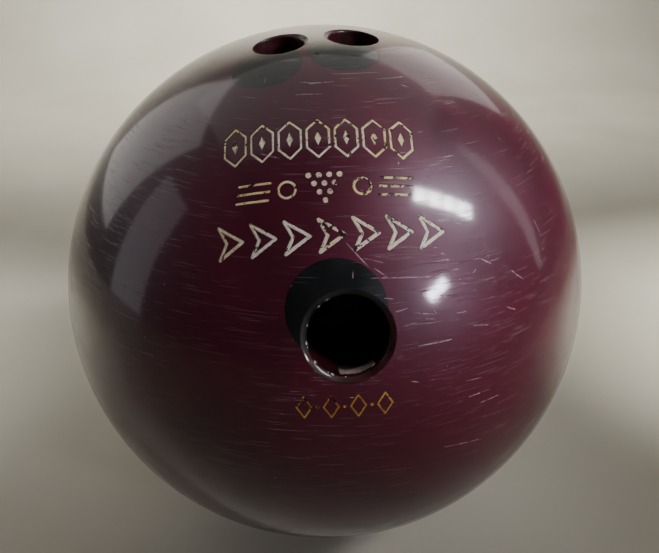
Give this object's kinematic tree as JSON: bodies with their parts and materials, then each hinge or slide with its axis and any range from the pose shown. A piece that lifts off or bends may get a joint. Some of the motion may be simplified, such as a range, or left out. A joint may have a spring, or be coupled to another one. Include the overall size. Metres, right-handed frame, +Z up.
{
  "type": "bowling ball",
  "caption": "Ten-pin bowling ball with a glossy polyester cover over a filler core and weight block, plugged and drilled again with thumb and finger holes.",
  "frame": {"origin": "centre of the ball", "axes": "+Z up as the ball lies, thumb hole facing -Y and 18 degrees up, finger holes near the top"},
  "size_m": [0.2172, 0.2172, 0.2172],
  "materials": {
    "cover": "polished polyester, scratched",
    "core_filler": "cast filler",
    "block_resin": "dense cast resin",
    "plug_resin": "sanded and polished flush",
    "cream_paint": "worn fill",
    "gold_paint": "worn fill",
    "tape": "textured and grubby"
  },
  "bodies": {
    "root": {"cover_shell": "cover", "inner_core": "core_filler", "weight_block": "block_resin", "thumb_plug": "plug_resin", "left_finger_plug": "plug_resin", "right_finger_plug": "plug_resin", "upper_emblem_paint": "cream_paint", "middle_emblem_paint": "cream_paint", "lower_emblem_paint": "cream_paint", "owner_mark_paint": "gold_paint", "thumb_tape": "tape"}
  },
  "joints": []
}
